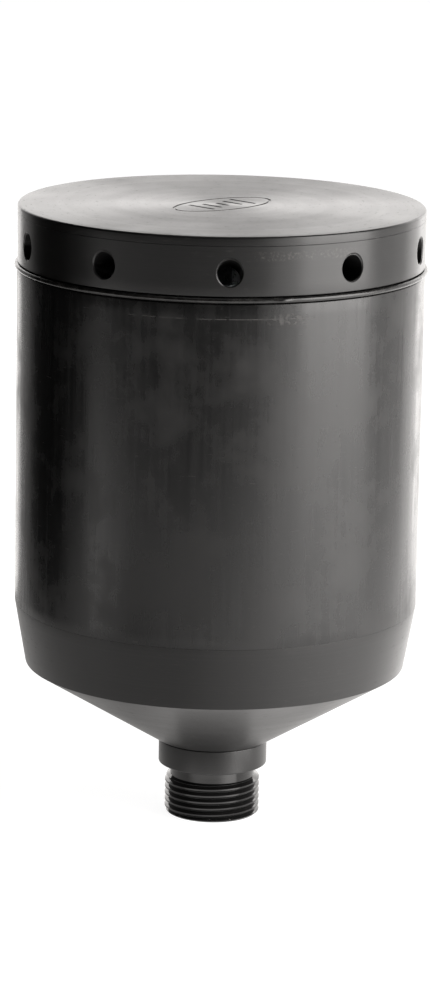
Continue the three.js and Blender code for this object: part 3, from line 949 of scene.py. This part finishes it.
def makeCap():
    values = capValues
    radius, top = housing["capRadius"], housing["top"]
    neck = neckThread["neckRadius"]
    line, depth = top - values["witnessLine"], values["witnessDepth"]
    piece = turnedPiece("ventedCap", [
        (0.0, values["ceiling"]),
        (values["chamber"], values["ceiling"], values["chamberEdge"]),
        (values["chamber"], housing["neckEnd"], values["neckEdge"]),
        (neck - values["neckChamfer"], housing["neckEnd"]),
        (neck, housing["neckEnd"] + values["neckChamfer"]),
        (neck, values["skirtFloor"]),
        (radius, values["skirtFloor"], values["skirtEdge"]),
        (radius, line - depth),
        (radius - depth, line),
        (radius, line + depth),
        (radius, top, values["topEdge"]),
        (0.0, top),
    ], bigSteps)
    thread = neckThread
    foot = neck - thread["ridgeRooted"]
    applyTree(
        piece, threadRidge,
        Root_radius=foot * mm,
        Pitch=thread["pitch"] * mm,
        Turns=thread["ridgeTurns"],
        Steps_per_turn=thread["steps"],
        Depth=(thread["depth"] + thread["ridgeRooted"]) * mm,
        Root_width=thread["ridgeFoot"] * mm,
        Crest_width=thread["ridgeCrest"] * mm,
        Start_height=thread["start"] * mm,
        Fade_turns=thread["ridgeFade"],
        Material=capPolyethylene,
    )
    applyTree(
        piece, drilledHoles,
        Count=values["holes"],
        Radius=values["holeRadius"] * mm,
        Reach=values["drillReach"] * mm,
        Mouth_radius=radius * mm,
        Mouth_height=values["holeHeight"] * mm,
        Axis_tilt=math.radians(90 - values["holeSlant"]),
        Face_tilt=math.radians(90),
        Chamfer=values["holeChamfer"] * mm,
        First_angle=math.radians(values["firstHole"]),
        Material=capPolyethylene,
    )
    applyTree(
        piece, engravedMark,
        Length=values["markLength"] * mm,
        Width=values["markWidth"] * mm,
        Depth=values["markDepth"] * mm,
        Bar_width=values["markBar"] * mm,
        Face_height=top * mm,
        Turn=math.radians(values["markTurn"]),
        Material=capPolyethylene,
    )
    smooth(piece)
    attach(piece, "cap")
    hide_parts("top_cap")


makeCap()
print("cap made")


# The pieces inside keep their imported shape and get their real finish.

insideFinishes = {
    "seal_rubber": nitrileRubber,
    "stainless_steel": sheetStainless,
    "zinc_plated_steel": zincPlate,
    "absorber_felt": needleFelt,
}
for part in frame["record"]["subparts"]:
    if part["material_slot"] in insideFinishes and part["node"] != "cap_seal_ring":
        for slot in frame["nodes"][part["node"]].material_slots:
            slot.material = insideFinishes[part["material_slot"]]
print("inside pieces finished")


# Studio: a pale floor, soft boxes all round, and the camera

floorValues = {
    "halfWidth": 12.0,
    "near": 0.05,           # the glow rises from here, in metres from the axis
    "far": 0.35,            # to here
    "nearGlow": 0.93,
    "farGlow": 1.0,
    "grey": 0.25,           # how much of the part's shade it takes
}
cardValues = {
    "halfWidth": 0.3,
    "height": -0.0005,
    "tint": (1.0, 0.975, 0.955, 1.0),
    "left": -0.04,          # the glow rises from here
    "right": 0.14,          # to here
    "leftGlow": 0.62,
    "rightGlow": 1.9,
    "patchAcross": (-0.04, 0.05),
    "patchAway": (-0.058, -0.028),
    "acrossFade": 0.01,
    "awayFade": 0.004,
    "brighten": (0.015, 0.035),      # where the patch brightens, from the left glow to the right
    "patchGlow": (0.9, 2.4),
}


def emitter(name, colour, grey):
    material, _, shader = newMaterial(name)
    shader.inputs["Base Color"].default_value = (grey, grey, grey, 1.0)
    shader.inputs["Roughness"].default_value = 1.0
    shader.inputs["Specular IOR Level"].default_value = 0.0
    shader.inputs["Emission Color"].default_value = colour
    return material


def flatPiece(name, halfWidth, height, material):
    mesh = bpy.data.meshes.new(name)
    corners = [(x * halfWidth, y * halfWidth, height) for x, y in ((-1, -1), (1, -1), (1, 1), (-1, 1))]
    mesh.from_pydata(corners, [], [(0, 1, 2, 3)])
    mesh.materials.append(material)
    piece = bpy.data.objects.new(name, mesh)
    bpy.context.scene.collection.objects.link(piece)
    return piece


def paintFloor(material):
    # Its glow is dimmed near the part, a painted shade round the stud's foot, and rises to full white away
    # from it. It is clear from below.
    values = floorValues
    tree = material.node_tree
    shader = tree.nodes["Principled BSDF"]
    _, _, radius, _ = roundAxis(tree)
    glow = ramp(tree, radius, values["near"], values["far"], values["nearGlow"], values["farGlow"])
    tree.links.new(glow, shader.inputs["Emission Strength"])
    below = addNode(tree, "ShaderNodeNewGeometry").outputs["Backfacing"]
    tree.links.new(maths(tree, "SUBTRACT", 1.0, below), shader.inputs["Alpha"])


def paintCard(material):
    # Brighter to the right, with a bright patch in front of the stud for its crests to mirror.
    values = cardValues
    tree = material.node_tree
    place = addNode(tree, "ShaderNodeTexCoord").outputs["Object"]
    across, away, _ = addNode(tree, "ShaderNodeSeparateXYZ", _0=place).outputs
    glow = ramp(tree, across, values["left"], values["right"], values["leftGlow"], values["rightGlow"])
    inFront = window(tree, away, *values["patchAway"], values["awayFade"])
    inWidth = window(tree, across, *values["patchAcross"], values["acrossFade"])
    inPatch = maths(tree, "MULTIPLY", inFront, inWidth)
    patchGlow = ramp(tree, across, *values["brighten"], *values["patchGlow"])
    glow = maths(tree, "ADD", glow, maths(tree, "MULTIPLY", inPatch, patchGlow))
    tree.links.new(glow, tree.nodes["Principled BSDF"].inputs["Emission Strength"])


# The floor is nearly white and keeps a faint contact shadow. It doesn't hide the soft boxes,
# whose lower halves hang below it. The cone and the stud don't mirror the floor: they mirror a
# small card just under it, which only reflections show.
floorPaint = emitter("floorPaint", (1.0, 1.0, 1.0, 1.0), floorValues["grey"])
paintFloor(floorPaint)
floor = flatPiece("floor", floorValues["halfWidth"], 0.0, floorPaint)
floor.visible_glossy = False
floor.visible_shadow = False
floor.visible_diffuse = False
cardPaint = emitter("cardPaint", cardValues["tint"], 0.0)
paintCard(cardPaint)
card = flatPiece("floorCard", cardValues["halfWidth"], cardValues["height"], cardPaint)
card.visible_camera = False
card.visible_diffuse = False
card.visible_shadow = False

softBoxes = {
    # azimuth (0 is the camera's side, + is right), degrees across, lowest and highest edge in
    # metres, and radiance
    "keyRightHigh": (67, 44, -0.06, 1.4, 7.3),
    "keyRightLow": (69, 44, -1.0, -0.06, 2.6),
    "nearRightHigh": (38, 20, -0.06, 0.9, 2.2),
    "nearRightLow": (38, 20, -1.0, -0.06, 2.4),
    "sideRightHigh": (106, 30, -0.2, 0.9, 1.3),
    "sideRightLow": (106, 30, -1.0, -0.2, 2.3),
    "backRightHigh": (138, 28, -0.2, 0.9, 2.1),
    "backRightLow": (134, 26, -1.0, -0.2, 2.7),
    "frontHigh": (-24, 104, -0.18, 0.9, 0.03),
    "frontLow": (-24, 104, -1.0, -0.22, 1.95),
    "leftLow": (-84, 16, -1.0, -0.2, 0.8),
    "backLeft": (-144, 26, -1.0, 0.9, 0.42),
    "backdrop": (177, 62, -0.6, 0.95, 2.15),
}
studio = {
    "distance": 1.25,
    "overhead": 0.6,          # radiance
    "overheadHeight": 1.6,
    "overheadSize": 0.9,
    "tint": (1.0, 0.975, 0.955),
}


def softBox(name, place, facing, width, height, radiance):
    light = bpy.data.lights.new(name, "AREA")
    light.shape = "RECTANGLE"
    light.size = width
    light.size_y = height
    light.energy = radiance * math.pi * width * height
    light.color = studio["tint"]
    lamp = bpy.data.objects.new(name, light)
    bpy.context.scene.collection.objects.link(lamp)
    lamp.location = place
    lamp.rotation_euler = facing.to_track_quat("-Z", "Y").to_euler()
    lamp.visible_camera = False


def makeSoftBoxes():
    distance = studio["distance"]
    for name, (azimuth, across, low, high, radiance) in softBoxes.items():
        angle = math.radians(azimuth)
        outwards = Vector((math.sin(angle), -math.cos(angle), 0.0))
        place = outwards * distance + Vector((0.0, 0.0, (low + high) / 2))
        width = 2 * distance * math.tan(math.radians(across / 2))
        softBox(name, place, -outwards, width, high - low, radiance)
    above = Vector((0.0, 0.0, studio["overheadHeight"]))
    size = studio["overheadSize"]
    softBox("overhead", above, Vector((0.0, 0.0, -1.0)), size, size, studio["overhead"])


makeSoftBoxes()
world = bpy.data.worlds.new("studio")
bpy.context.scene.world = world
world.use_nodes = True
world.node_tree.nodes["Background"].inputs["Color"].default_value = (1.0, 1.0, 1.0, 1.0)
world.cycles_visibility.diffuse = False
world.cycles_visibility.glossy = False
bpy.context.scene.view_settings.view_transform = "Standard"

cameraValues = {
    "place": (0.0, -1.3632, 0.4268),
    "tiltDown": 0.2256,       # radians
    "pan": -0.0004,
    "roll": 0.0179,
    "lens": 146.3,            # on a 36 mm sensor
}


def makeCamera():
    values = cameraValues
    data = bpy.data.cameras.new("camera")
    data.lens = values["lens"]
    camera = bpy.data.objects.new("camera", data)
    bpy.context.scene.collection.objects.link(camera)
    camera.matrix_world = (
        Matrix.Translation(values["place"])
        @ Matrix.Rotation(-values["pan"], 4, "Z")
        @ Matrix.Rotation(math.pi / 2 - values["tiltDown"], 4, "X")
        @ Matrix.Rotation(values["roll"], 4, "Z")
    )
    bpy.context.scene.camera = camera


makeCamera()
print("studio made")
